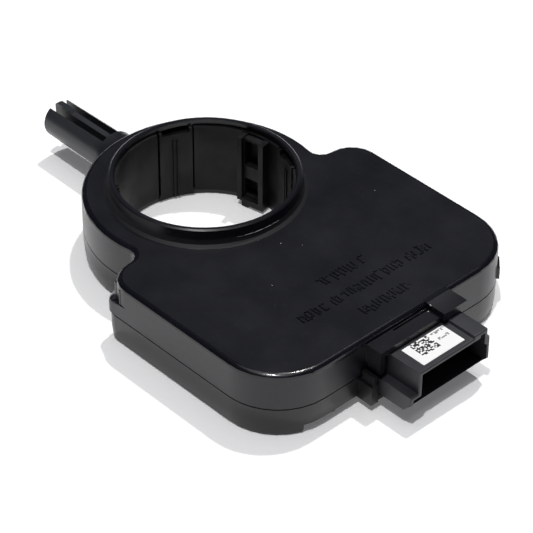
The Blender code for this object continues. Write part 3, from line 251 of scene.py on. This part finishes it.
def moulded_pbt(name, dark, light, gloss, grain, haze, painted_reflection=None, lightened=None,
                polished=None, matt=None):
    """Filled polyester in two tones, with gloss as its range of roughness.

    grain is the strength of the grain, and haze how far the flecks of dust cover the colour.
    The first of the keywords gives the X where a lighter grey, a painted reflection, begins and
    where it is full. The second gives a place (on both sides of the middle) and the radius within
    which the colour turns a lighter grey. polished gives two heights between which the edge is
    worn smoother, the X where that ends, and its roughness.
    matt gives two heights and a radius from the hole's axis within which the skin is matt, and
    its roughness.
    """
    made, tree = blank(name)
    place = add(tree, "ShaderNodeTexCoord").outputs["Object"]
    if painted_reflection or polished or matt:
        axes = add(tree, "ShaderNodeSeparateXYZ", inputs={0: place})
    clouds = add(tree, "ShaderNodeTexNoise", inputs={
        "Vector": place, "Scale": 1 / CLOUD, "Detail": 3.0, "Roughness": 0.6})
    tone = add(tree, "ShaderNodeMapRange", inputs={
        "Value": clouds.outputs[0], "From Min": 0.36, "From Max": 0.66})
    skin = add(tree, "ShaderNodeTexNoise", inputs={
        "Vector": place, "Scale": 1 / GRAIN, "Detail": 2.0})
    fibres = add(tree, "ShaderNodeMix", {"data_type": "RGBA"}, {
        "Factor": tone.outputs[0], "A": colour(dark), "B": colour(light)})
    dust = add(tree, "ShaderNodeTexNoise", inputs={
        "Vector": place, "Scale": 1 / FLECK, "Detail": 4.0, "Roughness": 0.7})
    flecks = add(tree, "ShaderNodeMapRange", inputs={
        "Value": dust.outputs[0], "From Min": 0.60, "From Max": 0.80, "To Max": haze})
    dust_and_reflection = add(tree, "ShaderNodeMix", {"data_type": "RGBA"}, {
        "Factor": flecks.outputs[0], "A": fibres.outputs["Result"], "B": colour(FLECK_GREY)})
    # painted reflection: the ring's far end is mixed towards a lighter grey
    if painted_reflection:
        reflection_mask = add(tree, "ShaderNodeMapRange", inputs={
            "Value": axes.outputs["X"], "From Min": painted_reflection[0], "From Max": painted_reflection[1]})
        dust_and_reflection = add(tree, "ShaderNodeMix", {"data_type": "RGBA"}, {
            "Factor": reflection_mask.outputs[0], "A": dust_and_reflection.outputs["Result"], "B": colour(REFLECTION_GREY)})
    # the two shoulder pockets are mixed towards a lighter grey
    if lightened:
        folded = add(tree, "ShaderNodeVectorMath", {"operation": "ABSOLUTE"}, {0: place})
        away = add(tree, "ShaderNodeVectorMath", {"operation": "DISTANCE"}, {
            0: folded.outputs[0], 1: lightened[0]})
        film = add(tree, "ShaderNodeMapRange", inputs={
            "Value": away.outputs["Value"],
            "From Min": lightened[1], "From Max": 0.7 * lightened[1]})
        dust_and_reflection = add(tree, "ShaderNodeMix", {"data_type": "RGBA"}, {
            "Factor": film.outputs[0], "A": dust_and_reflection.outputs["Result"], "B": colour(FILM_GREY)})
    rough = add(tree, "ShaderNodeMapRange", inputs={
        "Value": clouds.outputs[0], "From Min": 0.3, "From Max": 0.7,
        "To Min": gloss[0], "To Max": gloss[1]})
    sheen = rough.outputs[0]
    if polished:
        low, high, end, rubbed_gloss = polished
        near = add(tree, "ShaderNodeMath", {"operation": "LESS_THAN"}, {
            0: axes.outputs["X"], 1: end})
        edge = add(tree, "ShaderNodeMath", {"operation": "MULTIPLY"}, {
            0: between(tree, axes.outputs["Z"], low, high), 1: near.outputs[0]})
        sheen = add(tree, "ShaderNodeMix", {"data_type": "FLOAT"}, {
            "Factor": edge.outputs[0], "A": sheen, "B": rubbed_gloss}).outputs["Result"]
    if matt:
        low, high, reach, matt_gloss = matt
        flat = add(tree, "ShaderNodeCombineXYZ", inputs={
            "X": axes.outputs["X"], "Y": axes.outputs["Y"]})
        radius = add(tree, "ShaderNodeVectorMath", {"operation": "LENGTH"}, {
            0: flat.outputs[0]})
        near = add(tree, "ShaderNodeMath", {"operation": "LESS_THAN"}, {
            0: radius.outputs["Value"], 1: reach})
        foot = add(tree, "ShaderNodeMath", {"operation": "MULTIPLY"}, {
            0: between(tree, axes.outputs["Z"], low, high), 1: near.outputs[0]})
        sheen = add(tree, "ShaderNodeMix", {"data_type": "FLOAT"}, {
            "Factor": foot.outputs[0], "A": sheen, "B": matt_gloss}).outputs["Result"]
    grained = add(tree, "ShaderNodeBump", inputs={
        "Height": skin.outputs[0], "Strength": grain, "Distance": 0.00004})
    shader = add(tree, "ShaderNodeBsdfPrincipled", inputs={
        "Base Color": dust_and_reflection.outputs["Result"], "Roughness": sheen,
        "IOR": 1.50, "Normal": grained.outputs[0]})
    add(tree, "ShaderNodeOutputMaterial", inputs={"Surface": shader.outputs[0]})
    return made


# %% Cover, base and header finishes
RING_REFLECTION = (-0.031, -0.038)                      # X where the painted reflection begins and is full
POCKETS = ((0.01046, 0.0380, 0.0106), 0.0019)    # place of the lighter grey and its reach
TOP_EDGE = (0.0160, 0.01778, 0.0674, 0.19)       # two heights, end in X, roughness
LIP_FOOT = (0.01781, 0.0196, 0.0252, 0.62)       # two heights, radius, roughness

cover_pbt = moulded_pbt(
    "spark_eroded_black_pbt_cover", "0c0d12", "101117", (0.28, 0.34), 0.25, 0.05,
    painted_reflection=RING_REFLECTION, lightened=POCKETS, polished=TOP_EDGE, matt=LIP_FOOT)
base_pbt = moulded_pbt(
    "spark_eroded_black_pbt_base", "101112", "131416", (0.26, 0.33), 0.22, 0.05)
header_pbt = moulded_pbt(
    "satin_dark_grey_pbt_header", "25262a", "2c2d31", (0.38, 0.46), 0.30, 0.04)
print("moulded finishes:", cover_pbt.name, base_pbt.name, header_pbt.name)

# %% [markdown]
# ## Acetal
# The rotor turns in the housing for years without grease, which is a job for acetal (POM).
# Acetal moulds smoothly and feels waxy: a softer gloss than PBT, IOR 1.48. The rotor is coloured
# black, with a specular level below the usual 0.5 that was matched to the dark wall of the
# hole. The two measuring gears inside are left in the natural milky white, which lets a little
# light in.


# %% Acetal
FLOW = 0.007              # size of a cloud in the melt
RIPPLE = 0.0006           # size of a ripple of the skin


def acetal(name, tint, gloss, specular=0.5, waxy=False):
    """Moulded POM: a smooth waxy skin with faint flow clouds."""
    made, tree = blank(name)
    place = add(tree, "ShaderNodeTexCoord").outputs["Object"]
    flow = add(tree, "ShaderNodeTexNoise", inputs={
        "Vector": place, "Scale": 1 / FLOW, "Detail": 3.0, "Distortion": 0.6})
    handled = add(tree, "ShaderNodeMapRange", inputs={
        "Value": flow.outputs[0], "From Min": 0.36, "From Max": 0.64})
    tone = add(tree, "ShaderNodeMix", {"data_type": "RGBA"}, {
        "Factor": handled.outputs[0], "A": colour(tint[0]), "B": colour(tint[1])})
    rough = add(tree, "ShaderNodeMapRange", inputs={
        "Value": handled.outputs[0], "To Min": gloss[0], "To Max": gloss[1]})
    ripple = add(tree, "ShaderNodeTexNoise", inputs={
        "Vector": place, "Scale": 1 / RIPPLE, "Detail": 1.0})
    skin = add(tree, "ShaderNodeBump", inputs={
        "Height": ripple.outputs[0], "Strength": 0.12, "Distance": 0.00003})
    shader = add(tree, "ShaderNodeBsdfPrincipled", inputs={
        "Base Color": tone.outputs["Result"], "Roughness": rough.outputs[0],
        "IOR": 1.48, "Specular IOR Level": specular, "Normal": skin.outputs[0]})
    if waxy:
        shader.inputs["Subsurface Weight"].default_value = 0.15
        shader.inputs["Subsurface Radius"].default_value = (0.0012, 0.0010, 0.0008)
        shader.inputs["Subsurface Scale"].default_value = 0.5
    add(tree, "ShaderNodeOutputMaterial", inputs={"Surface": shader.outputs[0]})
    return made


rotor_pom = acetal(
    "moulded_black_acetal_rotor", ("060607", "131416"), (0.40, 0.62), specular=0.25)
gear_pom = acetal(
    "moulded_natural_acetal_gear", ("e4e1d6", "eeebe2"), (0.36, 0.44), waxy=True)
print("acetal finishes:", rotor_pom.name, gear_pom.name)

# %% [markdown]
# ## Metals
# A metal has no body colour of its own under the mirror: what shows is the tinted reflection,
# so metallic is 1 and the base colour is that tint. Nickel plate is a bright warm grey, a drawn
# aluminium can is cooler with fine rings from the drawing die, and the contact pins are brass
# with a dull white coat of tin. Tumbling in the plating drum leaves clouds in the gloss.


# %% Metals
def plated(name, tints, gloss, size, streak):
    """A metal surface: two tints, a range of roughness, the size of its marks in metres, and
    how far they are drawn out."""
    made, tree = blank(name)
    place = add(tree, "ShaderNodeTexCoord").outputs["Object"]
    drawn = add(tree, "ShaderNodeMapping", inputs={"Vector": place, "Scale": streak})
    marks = add(tree, "ShaderNodeTexNoise", inputs={
        "Vector": drawn.outputs[0], "Scale": 1 / size, "Detail": 4.0})
    tone = add(tree, "ShaderNodeMix", {"data_type": "RGBA"}, {
        "Factor": marks.outputs[0], "A": colour(tints[0]), "B": colour(tints[1])})
    rough = add(tree, "ShaderNodeMapRange", inputs={
        "Value": marks.outputs[0], "From Min": 0.3, "From Max": 0.7,
        "To Min": gloss[0], "To Max": gloss[1]})
    dents = add(tree, "ShaderNodeBump", inputs={
        "Height": marks.outputs[0], "Strength": 0.15, "Distance": 0.00002})
    shader = add(tree, "ShaderNodeBsdfPrincipled", inputs={
        "Base Color": tone.outputs["Result"], "Metallic": 1.0,
        "Roughness": rough.outputs[0], "Normal": dents.outputs[0]})
    add(tree, "ShaderNodeOutputMaterial", inputs={"Surface": shader.outputs[0]})
    return made


nickel = plated(
    "barrel_plated_nickel_magnet", ("c9c6bd", "d6d3cb"), (0.22, 0.34), 0.0008, (1, 1, 1))
can_metal = plated(
    "drawn_aluminium_can", ("cfd1d3", "dcdee0"), (0.24, 0.34), 0.0006, (1, 1, 6))
tin = plated(
    "tinned_brass_contact", ("c9c8c2", "dad9d4"), (0.28, 0.42), 0.0009, (0.2, 1, 1))
print("metal finishes:", nickel.name, can_metal.name, tin.name)

# %% [markdown]
# ## Board and chips
# The circuit board is glass cloth in epoxy under green solder mask. The mask is glossy and
# flows over copper tracks, which show as slightly lighter, slightly raised bands on a 1.27 mm
# grid. The chips are moulded in black epoxy full of silica, which is why they look chalky.

# %% Board and chips
TRACK_PITCH = 0.00127
WEAVE = 0.0005            # size of the glass cloth's unevenness under the mask
GRIT = 0.0003             # size of the silica grains, as drawn

mask, tree = blank("green_solder_mask_on_glass_laminate")
place = add(tree, "ShaderNodeTexCoord").outputs["Object"]
tracks = add(tree, "ShaderNodeTexBrick", {"offset": 0.35, "squash": 1.4}, {
    "Vector": place, "Scale": 1 / TRACK_PITCH, "Mortar Size": 0.16, "Mortar Smooth": 0.3,
    "Color1": colour("0f4a2c"), "Color2": colour("124f30"), "Mortar": colour("1c6a42"),
    "Brick Width": 3.0, "Row Height": 1.0})
weave = add(tree, "ShaderNodeTexNoise", inputs={
    "Vector": place, "Scale": 1 / WEAVE, "Detail": 2.0})
relief = add(tree, "ShaderNodeBump", inputs={
    "Height": tracks.outputs["Fac"], "Strength": 0.3, "Distance": 0.00004})
rough = add(tree, "ShaderNodeMapRange", inputs={
    "Value": weave.outputs[0], "To Min": 0.28, "To Max": 0.42})
shader = add(tree, "ShaderNodeBsdfPrincipled", inputs={
    "Base Color": tracks.outputs["Color"], "Roughness": rough.outputs[0],
    "IOR": 1.52, "Normal": relief.outputs[0]})
add(tree, "ShaderNodeOutputMaterial", inputs={"Surface": shader.outputs[0]})

epoxy, tree = blank("transfer_moulded_chip_epoxy")
place = add(tree, "ShaderNodeTexCoord").outputs["Object"]
grit = add(tree, "ShaderNodeTexNoise", inputs={
    "Vector": place, "Scale": 1 / GRIT, "Detail": 3.0})
tone = add(tree, "ShaderNodeMix", {"data_type": "RGBA"}, {
    "Factor": grit.outputs[0], "A": colour("202022"), "B": colour("2a2a2c")})
pits = add(tree, "ShaderNodeBump", inputs={
    "Height": grit.outputs[0], "Strength": 0.3, "Distance": 0.00003})
shader = add(tree, "ShaderNodeBsdfPrincipled", inputs={
    "Base Color": tone.outputs["Result"], "Roughness": 0.62, "IOR": 1.55,
    "Normal": pits.outputs[0]})
add(tree, "ShaderNodeOutputMaterial", inputs={"Surface": shader.outputs[0]})
print("board finishes:", mask.name, epoxy.name)

# %% [markdown]
# ## Finishes for the pieces inside
# The board, the chips, the cans, the magnets, the pins and the measuring gears keep their CAD
# solids, because they lie hidden inside. Only their material is exchanged.

# %% Dress the inner pieces
INNER = {
    "circuit_board": mask, "angle_sensor_a": epoxy, "angle_sensor_b": epoxy,
    "microcontroller": epoxy, "bus_transceiver": epoxy, "voltage_regulator": epoxy,
    "buffer_capacitor": can_metal, "quartz_crystal": can_metal,
    "gear_magnet_a": nickel, "gear_magnet_b": nickel,
    "measuring_gear_a": gear_pom, "measuring_gear_b": gear_pom,
}
for number in range(1, 7):
    INNER[f"contact_pin_{number}"] = tin
for name, finish in INNER.items():
    nodes[name].data.materials.clear()
    nodes[name].data.materials.append(finish)
print("inner pieces dressed:", len(INNER))


# %% [markdown]
# ## Softened mouldings
# No moulding has a knife edge: the mould's own corners leave a radius of about 0.2 mm, and it
# is that radius which draws the thin bright lines along the rims. The CAD solids are crisp, so
# each visible moulding is copied, its loose triangles are merged and flat areas joined, and the
# long clear edges get a small bevel. Edges with less clear length beside them than about twice
# the radius stay crisp, because a bevel there would fold over itself.

# %% Soften and dress a moulding
MERGE = 1e-6                  # corners closer than this are one
FLAT = math.radians(0.4)      # faces that turn less than this are one flat area
CORNER = math.radians(30)     # edges that turn more than this may be rounded
CREASE = math.radians(38)     # edges that turn more than this stay crisp in the shading
ROOM = 2.2                    # clear length that a rounded edge needs, in radii


def room_at(edge, chosen):
    """The least clear length next to an edge: other edges at its ends that aren't chosen."""
    least = edge.calc_length()
    for end in edge.verts:
        for other in end.link_edges:
            if other is not edge and other not in chosen:
                least = min(least, other.calc_length())
    return least


def soften(node, radius):
    """A copy of a CAD node with its long clear edges rounded over, as an object."""
    shape = bmesh.new()
    shape.from_mesh(nodes[node].data)
    bmesh.ops.remove_doubles(shape, verts=shape.verts, dist=MERGE)
    bmesh.ops.dissolve_limit(shape, angle_limit=FLAT, verts=shape.verts, edges=shape.edges)
    bmesh.ops.recalc_face_normals(shape, faces=shape.faces)
    shape.edges.ensure_lookup_table()
    corners = {e for e in shape.edges if e.is_manifold and e.calc_face_angle(0) > CORNER}
    clear = [e for e in corners if room_at(e, corners) > ROOM * radius]
    bmesh.ops.bevel(shape, geom=clear, offset=radius, offset_type="OFFSET", segments=2,
                    profile=0.5, affect="EDGES", clamp_overlap=True)
    for face in shape.faces:
        face.smooth = True
    for edge in shape.edges:
        edge.smooth = not (edge.is_manifold and edge.calc_face_angle(0) > CREASE)
    mesh = bpy.data.meshes.new(node + "_moulding")
    shape.to_mesh(mesh)
    shape.free()
    piece = bpy.data.objects.new(node + "_moulding", mesh)
    bpy.context.scene.collection.objects.link(piece)
    level = piece.modifiers.new("Flat faces stay flat", "WEIGHTED_NORMAL")
    level.weight = 100
    level.keep_sharp = True
    print(node, "corner edges", len(corners), "rounded", len(clear), "faces", len(mesh.polygons))
    return piece


MOULDINGS = (
    ("upper_cover", "housing", "cover_plastic", cover_pbt, 0.00022),
    ("lower_housing", "housing", "housing_plastic", base_pbt, 0.00022),
    ("connector_header", "housing", "header_plastic", header_pbt, 0.00020),
    ("rotor_hub", "rotor", "rotor_acetal", rotor_pom, 0.00018),
)
for node, body_name, slot, finish, radius in MOULDINGS:
    piece = soften(node, radius)
    piece.data.materials.append(finish)
    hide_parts(node)
    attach(piece, body_name)

# %% [markdown]
# ## The label
# A small paper label is stuck on top of the header: white, with a square of printed cells and
# two faint lines of dashes. It is a thin sheet with small round corners, a little proud of the
# plastic. The print is made of plain fields of colour: a square whose cells are black or white
# at random, and grey dashes.

# %% Label paper
LABEL_X = (0.0727, 0.0798)
LABEL_Y = (-0.0066, 0.0066)
LABEL_Z = 0.0145
LABEL_T = 0.00008
CELL = 0.00040            # side of one printed cell
WHITE_SHARE = 0.42        # share of the cells that stay white
FAINT = 0.70              # how dark the dashes are beside the black of the cells
FIBRE = 0.0004            # size of the paper's fibres, as drawn
CODE_X = (0.07272, 0.07752)
CODE_Y = (-0.00440, 0.00120)
LINES_X = ((0.07310, 0.07395), (0.07520, 0.07605))
LINES_Y = (0.00210, 0.00566)

label_print, tree = blank("thermal_printed_label_paper")
place = add(tree, "ShaderNodeTexCoord").outputs["Object"]
cells = add(tree, "ShaderNodeVectorMath", {"operation": "SNAP"}, {0: place, 1: (CELL, CELL, 1.0)})
dice = add(tree, "ShaderNodeTexWhiteNoise", {"noise_dimensions": "2D"}, {
    "Vector": cells.outputs[0]})
black_cell = add(tree, "ShaderNodeMath", {"operation": "GREATER_THAN"}, {
    0: dice.outputs["Value"], 1: WHITE_SHARE})
axes = add(tree, "ShaderNodeSeparateXYZ", inputs={0: place})
across, along = axes.outputs["X"], axes.outputs["Y"]
inside = add(tree, "ShaderNodeMath", {"operation": "MULTIPLY"}, {
    0: between(tree, across, *CODE_X), 1: between(tree, along, *CODE_Y)})
code = add(tree, "ShaderNodeMath", {"operation": "MULTIPLY"}, {
    0: inside.outputs[0], 1: black_cell.outputs[0]})
lines = add(tree, "ShaderNodeMath", {"operation": "ADD"}, {
    0: between(tree, across, *LINES_X[0]), 1: between(tree, across, *LINES_X[1])})
bars = add(tree, "ShaderNodeMath", {"operation": "MULTIPLY"}, {
    0: between(tree, along, *LINES_Y), 1: lines.outputs[0]})
dashes = add(tree, "ShaderNodeMath", {"operation": "MULTIPLY"}, {
    0: bars.outputs[0], 1: black_cell.outputs[0]})
faint = add(tree, "ShaderNodeMath", {"operation": "MULTIPLY"}, {
    0: dashes.outputs[0], 1: FAINT})
ink = add(tree, "ShaderNodeMath", {"operation": "MAXIMUM"}, {
    0: code.outputs[0], 1: faint.outputs[0]})
fibre = add(tree, "ShaderNodeTexNoise", inputs={
    "Vector": place, "Scale": 1 / FIBRE, "Detail": 3.0})
sheet = add(tree, "ShaderNodeMix", {"data_type": "RGBA"}, {
    "Factor": fibre.outputs[0], "A": colour("f2f2f0"), "B": colour("fafaf9")})
printed = add(tree, "ShaderNodeMix", {"data_type": "RGBA"}, {
    "Factor": ink.outputs[0], "A": sheet.outputs["Result"], "B": colour("17171a")})
shader = add(tree, "ShaderNodeBsdfPrincipled", inputs={
    "Base Color": printed.outputs["Result"], "Roughness": 0.45, "IOR": 1.50})
add(tree, "ShaderNodeOutputMaterial", inputs={"Surface": shader.outputs[0]})
print("print finish:", label_print.name)

# %% Label sheet
LABEL_CORNER = 0.0002     # radius of the sheet's corners

shape = bmesh.new()
outline = []
for cx, cy, start in ((1, 1, 0), (0, 1, 90), (0, 0, 180), (1, 0, 270)):
    x = LABEL_X[cx] + (-LABEL_CORNER if cx else LABEL_CORNER)
    y = LABEL_Y[cy] + (-LABEL_CORNER if cy else LABEL_CORNER)
    for step in range(5):
        turn = math.radians(start + 22.5 * step)
        swing = (LABEL_CORNER * math.cos(turn), LABEL_CORNER * math.sin(turn))
        outline.append((x + swing[0], y + swing[1], LABEL_Z))
face = shape.faces.new([shape.verts.new(p) for p in outline])
raised = bmesh.ops.extrude_face_region(shape, geom=[face])
for item in raised["geom"]:
    if isinstance(item, bmesh.types.BMVert):
        item.co.z += LABEL_T
bmesh.ops.recalc_face_normals(shape, faces=shape.faces)
label_mesh = bpy.data.meshes.new("header_label")
shape.to_mesh(label_mesh)
shape.free()
label = bpy.data.objects.new("header_label", label_mesh)
bpy.context.scene.collection.objects.link(label)
label_mesh.materials.append(label_print)
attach(label, "housing")

# %% [markdown]
# ## Raised marks on the lid
# Mouldings carry a cast-in marking. Here it is only strokes that stand a little under 0.3 mm
# proud, in three rows across the lid: upright ones, and some that cross or slant. They spell
# nothing, though where they meet they can look like letters. Strokes that repeat along a line
# are made with Geometry Nodes: a mesh line gives the places, one small eight-sided rod is laid
# on each, half sunk into the lid, and random values with a fixed seed change its length, its
# place and its lean. The flat top matches the lid, the upright sides mirror the black lid and
# draw dark lines, and the slopes between them glint here and there.


# %% Rows of raised strokes
def stroke_rows():
    """The node tree: a row of half-sunk rods along Y, with the row's sizes as named inputs."""
    tree = bpy.data.node_groups.new("raised_strokes", "GeometryNodeTree")
    face = tree.interface
    face.new_socket("Geometry", in_out="OUTPUT", socket_type="NodeSocketGeometry")
    for name, kind in (("Start", "NodeSocketVector"), ("Pitch", "NodeSocketFloat"),
                       ("Count", "NodeSocketInt"), ("Radius", "NodeSocketFloat"),
                       ("Length", "NodeSocketFloat"), ("Turn", "NodeSocketFloat"),
                       ("Stray", "NodeSocketVector"), ("Keep", "NodeSocketFloat"),
                       ("Seed", "NodeSocketInt"), ("Finish", "NodeSocketMaterial")):
        face.new_socket(name, in_out="INPUT", socket_type=kind)
    given = add(tree, "NodeGroupInput").outputs
    step = add(tree, "ShaderNodeCombineXYZ", inputs={"Y": given["Pitch"]})
    line = add(tree, "GeometryNodeMeshLine", inputs={
        "Count": given["Count"], "Start Location": given["Start"], "Offset": step.outputs[0]})
    dice = add(tree, "FunctionNodeRandomValue", {"data_type": "FLOAT_VECTOR"}, {
        "Min": (-1.0, -1.0, 0.0), "Max": (1.0, 1.0, 0.0), "Seed": given["Seed"]})
    stray = add(tree, "ShaderNodeVectorMath", {"operation": "MULTIPLY"}, {
        0: dice.outputs["Value"], 1: given["Stray"]})
    moved = add(tree, "GeometryNodeSetPosition", inputs={
        "Geometry": line.outputs[0], "Offset": stray.outputs[0]})
    rod = add(tree, "GeometryNodeMeshCylinder", inputs={
        "Vertices": 8, "Radius": given["Radius"], "Depth": given["Length"]})
    flat_up = add(tree, "GeometryNodeTransform", inputs={
        "Geometry": rod.outputs["Mesh"], "Rotation": (0.0, 0.0, math.radians(22.5))})
    length = add(tree, "FunctionNodeRandomValue", {"data_type": "FLOAT"}, {
        "Min": 0.70, "Max": 1.0, "Seed": given["Seed"]})
    grow = add(tree, "ShaderNodeCombineXYZ", inputs={
        "X": 1.0, "Y": 1.0, "Z": length.outputs["Value"]})
    lean = add(tree, "FunctionNodeRandomValue", {"data_type": "FLOAT"}, {
        "Min": -0.12, "Max": 0.12, "Seed": given["Seed"]})
    heading = add(tree, "ShaderNodeMath", {"operation": "ADD"}, {
        0: lean.outputs["Value"], 1: given["Turn"]})
    laid = add(tree, "ShaderNodeCombineXYZ", inputs={
        "Y": math.pi / 2, "Z": heading.outputs[0]})
    keep = add(tree, "FunctionNodeRandomValue", {"data_type": "BOOLEAN"}, {
        "Probability": given["Keep"], "Seed": given["Seed"]})
    placed = add(tree, "GeometryNodeInstanceOnPoints", inputs={
        "Points": moved.outputs[0], "Instance": flat_up.outputs[0], "Scale": grow.outputs[0],
        "Rotation": laid.outputs[0], "Selection": keep.outputs["Value"]})
    real = add(tree, "GeometryNodeRealizeInstances", inputs={0: placed.outputs[0]})
    dressed = add(tree, "GeometryNodeSetMaterial", inputs={
        "Geometry": real.outputs[0], "Material": given["Finish"]})
    add(tree, "NodeGroupOutput", inputs={"Geometry": dressed.outputs[0]})
    return tree


def baked(name, tree, values):
    """The tree's result with these inputs, as a plain mesh."""
    holder = bpy.data.objects.new(name + "_maker", bpy.data.meshes.new(name + "_maker"))
    bpy.context.scene.collection.objects.link(holder)
    maker = holder.modifiers.new("Maker", "NODES")
    maker.node_group = tree
    for item in tree.interface.items_tree:
        if item.in_out == "INPUT" and item.name in values:
            maker[item.identifier] = values[item.name]
    found = holder.evaluated_get(bpy.context.evaluated_depsgraph_get())
    mesh = bpy.data.meshes.new_from_object(found)
    bpy.data.objects.remove(holder)
    return mesh


LID_Z = 0.0178            # height of the flat lid
STROKE_R = 0.00030        # from a rod's middle to its corners, so its flat top is nearer
STROKE_PROUD = 0.00029    # height of that radius above the lid; the flat top is at 0.27 mm
STROKE_PITCH = 0.0022
STROKE_FACES = 10         # of one eight-sided rod with its two ends
# each row's start in X and Y, its count and its seed
ROWS = ((0.0461, -0.0063, 7, 3), (0.0527, -0.0185, 19, 8), (0.0598, -0.0060, 7, 5))
# each kind's offset in X and Y, length, turn, stray in X and Y, and the share that is kept
UPRIGHT, ACROSS, SLANT = 0.0, math.pi / 2, 0.55
STROKES = (
    (0.0, 0.0, 0.0031, UPRIGHT, (0.0003, 0.00012), 0.92),
    (0.0, 0.0011, 0.0026, UPRIGHT, (0.0005, 0.00015), 0.70),
    (-0.0012, 0.0007, 0.0011, ACROSS, (0.0004, 0.0003), 0.50),
    (0.0004, 0.0005, 0.0010, ACROSS, (0.0008, 0.0003), 0.40),
    (0.0003, 0.0016, 0.0018, SLANT, (0.0007, 0.0003), 0.40),
)
rows = stroke_rows()
joined = bmesh.new()
for x, y, count, seed in ROWS:
    for k, (dx, dy, length, turn, stray, share) in enumerate(STROKES):
        joined.from_mesh(baked("lid_row", rows, {
            "Start": (x + dx, y + dy, LID_Z + STROKE_PROUD - STROKE_R),
            "Pitch": STROKE_PITCH, "Count": count, "Radius": STROKE_R, "Length": length,
            "Turn": turn, "Stray": (*stray, 0.0), "Keep": share,
            "Seed": seed + 11 * k, "Finish": cover_pbt}))
marks_mesh = bpy.data.meshes.new("lid_marks")
joined.to_mesh(marks_mesh)
joined.free()
marks = bpy.data.objects.new("lid_marks", marks_mesh)
bpy.context.scene.collection.objects.link(marks)
marks_mesh.materials.append(cover_pbt)
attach(marks, "housing")
print("strokes on the lid:", len(marks_mesh.polygons) // STROKE_FACES)

# %% [markdown]
# ## Dust and a burr
# A few light specks of dust lie on the lid and beside the hood. On the outside of the lip the
# mould left a short hair of flash, and its pale grey is a painted highlight along that ridge.
# Both are tiny real pieces, because they catch the light from every side.

# %% Dust finish and the burr's painted highlight
PALE_BLOTCH = 0.00012            # size of the blotches in the pale grey

# pale grey: the colour of the dust, and a painted highlight where the burr wears it
dust_and_glint_finish, tree = blank("pale_dust_and_painted_glint")
place = add(tree, "ShaderNodeTexCoord").outputs["Object"]
blotches = add(tree, "ShaderNodeTexNoise", inputs={
    "Vector": place, "Scale": 1 / PALE_BLOTCH, "Detail": 2.0})
tone = add(tree, "ShaderNodeMix", {"data_type": "RGBA"}, {
    "Factor": blotches.outputs[0], "A": colour("9a9b9e"), "B": colour("e2e3e5")})
shader = add(tree, "ShaderNodeBsdfPrincipled", inputs={
    "Base Color": tone.outputs["Result"], "Roughness": 0.85, "IOR": 1.45})
add(tree, "ShaderNodeOutputMaterial", inputs={"Surface": shader.outputs[0]})
print("dust finish:", dust_and_glint_finish.name)

# %% Specks and the hair of flash
SPECKS = (                # place and radius
    (0.0289, 0.0287, LID_Z, 0.00013), (0.0288, -0.0023, LID_Z, 0.00015),
    (0.0327, 0.0010, LID_Z, 0.00011), (0.0389, -0.0146, LID_Z, 0.00013),
    (0.06873, 0.00673, LID_Z, 0.00024), (0.06873, 0.00606, 0.0163, 0.00022),
)
# the burr's pale grey is a painted highlight along its ridge
BURR_R = 0.02350
BURR_Z = 0.0194
BURR_TURN = (-24, 7)      # degrees round the hole where the hair begins and ends
BURR_T = 0.00007
BURR_STEPS = 24
BURR_SIDES = 6

shape = bmesh.new()
for x, y, z, r in SPECKS:
    squat = Matrix.Translation((x, y, z + 0.4 * r)) @ Matrix.Diagonal((1.0, 0.7, 0.6, 1.0))
    bmesh.ops.create_icosphere(shape, subdivisions=2, radius=r, matrix=squat)
rings = []
for step in range(BURR_STEPS + 1):
    turn = math.radians(BURR_TURN[0] + (BURR_TURN[1] - BURR_TURN[0]) * step / BURR_STEPS)
    torn = 1.0 if step % 5 < 3 else 0.4
    thick = BURR_T * math.sin(math.pi * (step + 0.5) / (BURR_STEPS + 1)) * torn
    ring = []
    for side in range(BURR_SIDES):
        a = math.radians(360 / BURR_SIDES * side)
        r = BURR_R + thick * math.cos(a)
        z = BURR_Z + thick * math.sin(a)
        ring.append(shape.verts.new((r * math.cos(turn), r * math.sin(turn), z)))
    rings.append(ring)
for a, b in zip(rings, rings[1:]):
    for side in range(BURR_SIDES):
        after = (side + 1) % BURR_SIDES
        shape.faces.new((a[side], a[after], b[after], b[side]))
shape.faces.new(rings[0])
shape.faces.new(rings[-1][::-1])
bmesh.ops.recalc_face_normals(shape, faces=shape.faces)
speck_mesh = bpy.data.meshes.new("dust_and_burr")
shape.to_mesh(speck_mesh)
shape.free()
specks = bpy.data.objects.new("dust_and_burr", speck_mesh)
bpy.context.scene.collection.objects.link(specks)
speck_mesh.materials.append(dust_and_glint_finish)
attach(specks, "housing")
print("specks of dust:", len(SPECKS))

# %% [markdown]
# ## Finish
# The last step sets the view transform to Standard.

# %% Finish
bpy.context.scene.view_settings.view_transform = "Standard"
